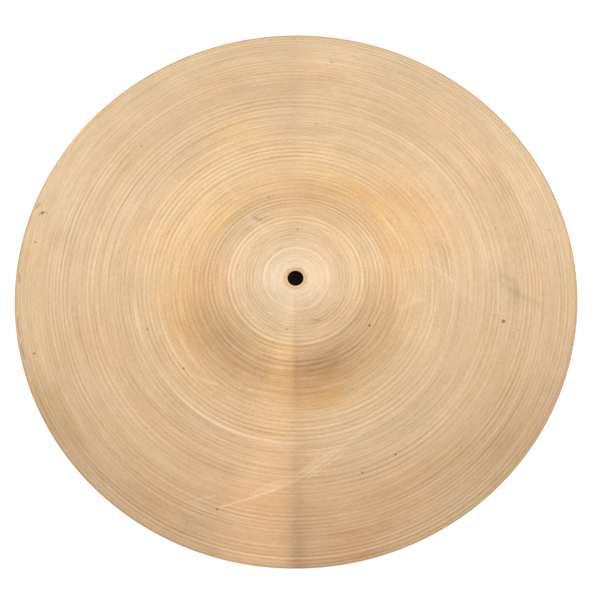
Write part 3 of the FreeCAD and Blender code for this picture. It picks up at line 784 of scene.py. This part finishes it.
def bronze_top():
    G = Surface("bronze_lathed")
    around = cos, sin = G.direction()
    rw = G.sub(G.wobble(), G.add(G.mul(cos, 0.6), G.mul(sin, 0.5)))

    def by_radius(inner, outer):
        return G.remap(G.r, 15.0, 60.0, inner, outer)

    # the rings, as a gain on one base colour; the lines lie closer near the hole and the rim
    feed = G.add(G.mul(rw, 0.64), G.mul(G.math("MINIMUM", rw, 45.0), 0.30))
    feed = G.add(feed, G.mul(G.remap(rw, 175.0, RIM, 0.0, 53.6), 0.12))
    fine = G.ring_noise(around, rw, turns=3.0, per_mm=1.6, detail=1.5, rough=0.6)
    lines = G.ring_noise(around, feed, turns=1.8, per_mm=1.35, detail=1.5, rough=0.6, lift=7.0)
    nicks = G.ring_noise(around, rw, turns=34.0, per_mm=1.1, rough=0.7, lift=17.0)
    grain = G.blobs(mm=1.25, detail=2.0, rough=0.75, lift=9.0)
    pale = G.ring_noise(around, rw, turns=1.5, per_mm=0.80, detail=1.0, lift=13.0)
    gain = G.total(
        G.swing(fine, by_radius(0.32, 0.46)),
        G.swing(lines, by_radius(0.17, 0.33)),
        G.swing(grain, 0.44),
        G.swing(nicks, by_radius(0.05, 0.36)),
        G.mul(G.attribute("groove", "Fac"), 0.125),
        G.mul(G.remap(pale, 0.60, 0.72), 0.05),
    )
    ring_gain = G.vector_math("MULTIPLY_ADD", (gain, RING_TINT, (1.0, 1.0, 1.0)))
    # the tone ramp paints a highlight on the crown and shade on the bell's flank
    color = G.times(G.times(tone_and_light_ramp(G), ring_gain), BRONZE)
    # tarnish patches, some of them painted shade on the near side of the bell's flank
    color = G.times(color, G.attribute("tarnish_and_shade", "Vector"))

    # rubs, scratches, smears and pits, with uneven outlines
    shift_x, shift_y = (G.sub(G.blobs(mm=9.0, detail=2.0, rough=0.6, lift=lift), 0.5)
                        for lift in (51.0, 61.0))

    def marks(group, items, uneven):
        x, y = moved[uneven]
        return G.marks(group, x, y, items)

    moved = {mm: (G.add(G.x, G.mul(shift_x, mm)), G.add(G.y, G.mul(shift_y, mm)))
             for mm in (2.2, 1.0)}
    broken = G.ring_noise(around, rw, turns=9.0, per_mm=1.3, rough=0.6, lift=23.0)
    rub = G.mul(marks(STROKE, RUBS, uneven=2.2), G.remap(broken, 0.35, 0.60, 0.35, 1.0))
    for *shape, level in RUBBED_RINGS:
        rub = G.maximum(rub, G.mul(G.patch(*shape), level))
    smear = G.mul(marks(STROKE, SMEARS, uneven=2.2), G.remap(grain, 0.35, 0.6, 0.35, 1.0))
    pit = marks(SPOT, PITS, uneven=1.0)
    color = G.mix(G.mul(rub, 0.78), color, RUB_COLOR)
    color = G.mix(smear, color, SMEAR_COLOR)
    color = G.mix(G.mul(pit, 0.74), color, PIT_COLOR)

    relief = G.add(G.mul(fine, 0.5), G.mul(lines, 0.5))
    normal = G.bump(relief, strength=0.20, distance=0.0003)
    normal = G.bump(G.mul(pit, -1.0), strength=0.8, distance=0.0004, normal=normal)
    G.lathed(color, rough=G.add(0.36, G.mul(G.maximum(pit, smear), 0.3)), normal=normal)

    # the bright bottoms of the tool marks: all but mirror-smooth along the rings, and spread wide
    # across them; their share of the surface grows outwards
    glint = G.feed_all(G.new("ShaderNodeBsdfAnisotropic", distribution="GGX"), {
        "Tangent": G.tangent(), "Color": color, "Roughness": 0.21, "Anisotropy": 0.86,
        "Normal": normal,
    })
    share = G.add(G.remap(G.r, 92.0, 112.0, 0.34, 0.38), G.remap(G.r, 136.0, 156.0, 0.0, 0.32))
    mixer = G.feed_all(G.new("ShaderNodeMixShader"), (share, G.bsdf.outputs[0], glint.outputs[0]))
    out = next(n for n in G.nodes if n.type == "OUTPUT_MATERIAL")
    G.feed(out.inputs["Surface"], mixer.outputs[0])
    return G.material


def bronze_edge():
    """The rim and the bore: darker bronze on the rim, paler near the hole as a painted highlight on
    the bore's bevel, and painted shade on the bore's wall.
    """
    G = Surface("bronze_edge")
    cloud = G.blobs(mm=3.0, rough=0.6, lift=2.0)
    inner = G.remap(G.r, 9.0, 30.0, 1.0, 0.0)
    color = G.mix(cloud, (0.42, 0.275, 0.14), (0.54, 0.365, 0.20))
    # painted highlight: paler bronze on the bore's bevel near the hole
    color = G.mix(inner, color, G.mix(cloud, (0.68, 0.45, 0.23), (0.82, 0.56, 0.31)))
    # painted shade: near-black on the bore's wall
    color = G.mix(G.remap(G.r, 6.36, 6.43, 1.0, 0.0), color, (0.16, 0.10, 0.06))
    G.feed_all(G.bsdf, {"Base Color": color, "Metallic": 0.85, "Roughness": 0.42,
                        "Normal": G.bump(cloud, strength=0.3, distance=0.0002)})
    return G.material


def bronze_under():
    G = Surface("bronze_underside")
    around, rw = G.direction(), G.wobble()
    fine = G.ring_noise(around, rw, turns=5.0, per_mm=1.4, rough=0.6, lift=2.0)
    lines = G.ring_noise(around, rw, turns=3.0, per_mm=0.45, rough=0.6, lift=9.0)
    cloud = G.blobs(mm=40.0, detail=4.0, rough=0.6, lift=31.0, distort=0.5)
    stain = G.blobs(mm=22.0, detail=4.0, rough=0.65, lift=41.0, distort=1.0)
    stain = G.remap(stain, 0.55, 0.75, 0.0, 0.65)
    gain = G.total(0.94, G.swing(fine, 0.18), G.swing(lines, 0.22), G.swing(cloud, 0.18),
                   G.mul(G.attribute("groove", "Fac"), 0.12))
    color = G.mix(cloud, (0.70, 0.47, 0.25), (0.67, 0.49, 0.30))
    color = G.scaled(G.mix(stain, color, (0.52, 0.36, 0.21)), gain)
    G.lathed(color, rough=G.add(0.34, G.mul(stain, 0.12)),
             normal=G.bump(G.add(fine, lines), strength=0.25, distance=0.0003))
    return G.material


def floor_white_with_painted_shade():
    """White, glowing beyond the rim, and grey under the plate as painted shade."""
    G = Surface("floor_white_with_painted_shade")
    white = (0.93, 0.93, 0.93)
    G.feed_all(G.bsdf, {
        # painted shade: grey floor under the plate, seen through the hole
        "Base Color": G.mix(G.remap(G.r, 60.0, 215.0), (0.30, 0.29, 0.27), white),
        "Roughness": 0.9, "Specular IOR Level": 0.1, "Emission Color": (1, 1, 1, 1),
        "Emission Strength": G.remap(G.r, 200.0, 228.0, 0.0, 0.35),
    })
    # under the link stands the plain white
    G.bsdf.inputs["Base Color"].default_value = (*white, 1)
    return G.material


for material in (bronze_top(), bronze_edge(), bronze_under()):
    plate.data.materials.append(material)

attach(plate, "root")
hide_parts("cymbal_plate")

# =====================================================================
# 6. Light, floor and camera
# =====================================================================
scene = bpy.context.scene
scene.view_settings.view_transform = "Standard"
scene.view_settings.look = "None"
scene.view_settings.exposure = 0.0
scene.view_settings.gamma = 1.0


def studio_light():
    world = bpy.data.worlds.new("studio")
    scene.world = world
    world.use_nodes = True
    W = Graph(world.node_tree)
    W.nodes.clear()
    sky = W.new("ShaderNodeTexCoord").outputs["Generated"]
    dx, dy, dz = W.feed_all(W.new("ShaderNodeSeparateXYZ"), (sky,)).outputs
    # one wide soft light over the far side, falling off towards the camera
    level = W.mul(W.ease(dy, -0.15, 0.62, 0.68, 1.10), W.ease(dy, 0.72, 0.97, 1.0, 0.84))
    # In front, what a turned face shows of the light depends only on the side angle as seen from
    # the axis, so the lights are laid out as a fan: a pale panel on the left, a dark gap, and the
    # plain level on the right. The gap draws the streak from the bell to the near edge.
    fan = W.div(dx, W.maximum(W.sub(0.3225, dy), 0.03))
    up = W.ease(dz, 0.25, 0.5)
    near = W.mul(W.ease(dy, 0.14, 0.30, 1.0, 0.0), up)
    deep = W.mul(W.mul(W.ease(dy, 0.18, 0.32, 1.0, 0.0), up), W.ease(dy, -0.55, -0.25, 0.6, 1.0))
    panel = W.mul(W.ease(fan, -0.36, -0.24), W.ease(fan, -0.052, -0.020, 1.0, 0.0))
    gap = W.mul(W.ease(fan, -0.050, -0.030), W.ease(fan, -0.012, 0.018, 1.0, 0.0))
    panel = W.mul(panel, near)
    shape = W.sub(W.add(1.0, W.mul(panel, 0.31)), W.mul(W.mul(deep, gap), 0.98))
    level = W.mul(W.mul(level, shape), 1.225)
    # the camera sees at least plain white
    level = W.maximum(level, W.new("ShaderNodeLightPath").outputs["Is Camera Ray"])
    color = W.mix(panel, (1.0, 0.998, 0.99), (1.0, 0.96, 0.91))
    background = W.feed_all(W.new("ShaderNodeBackground"), (color, level))
    W.feed_all(W.new("ShaderNodeOutputWorld"), (background.outputs[0],))


def lay_floor(half=12, z=-0.0004):
    mesh = bpy.data.meshes.new("floor")
    corners = [(-half, -half, z), (half, -half, z), (half, half, z), (-half, half, z)]
    mesh.from_pydata(corners, [], [(0, 1, 2, 3)])
    floor = bpy.data.objects.new("floor", mesh)
    scene.collection.objects.link(floor)
    mesh.materials.append(floor_white_with_painted_shade())


def set_camera(tilt, roll, distance):
    """Looks down at the middle of the plate: tilt from the vertical (degrees), metres away."""
    data = bpy.data.cameras.new("camera")
    data.sensor_width = 36.0
    data.sensor_fit = "HORIZONTAL"
    data.lens = 140.5698
    data.shift_x = 0.00700
    data.shift_y = -0.01365
    data.clip_end = 60
    camera = bpy.data.objects.new("camera", data)
    scene.collection.objects.link(camera)
    tilt, roll = math.radians(tilt), math.radians(roll)
    level_right = Vector((1, 0, 0))
    level_up = Vector((0, math.cos(tilt), math.sin(tilt)))
    back = Vector((0, -math.sin(tilt), math.cos(tilt)))
    right = level_right * math.cos(roll) - level_up * math.sin(roll)
    up = level_right * math.sin(roll) + level_up * math.cos(roll)
    turn = Matrix((right, up, back)).transposed()
    camera.matrix_world = Matrix.Translation(back * distance) @ turn.to_4x4()
    scene.camera = camera


studio_light()
lay_floor()
set_camera(tilt=18.816, roll=1.43, distance=1.905)
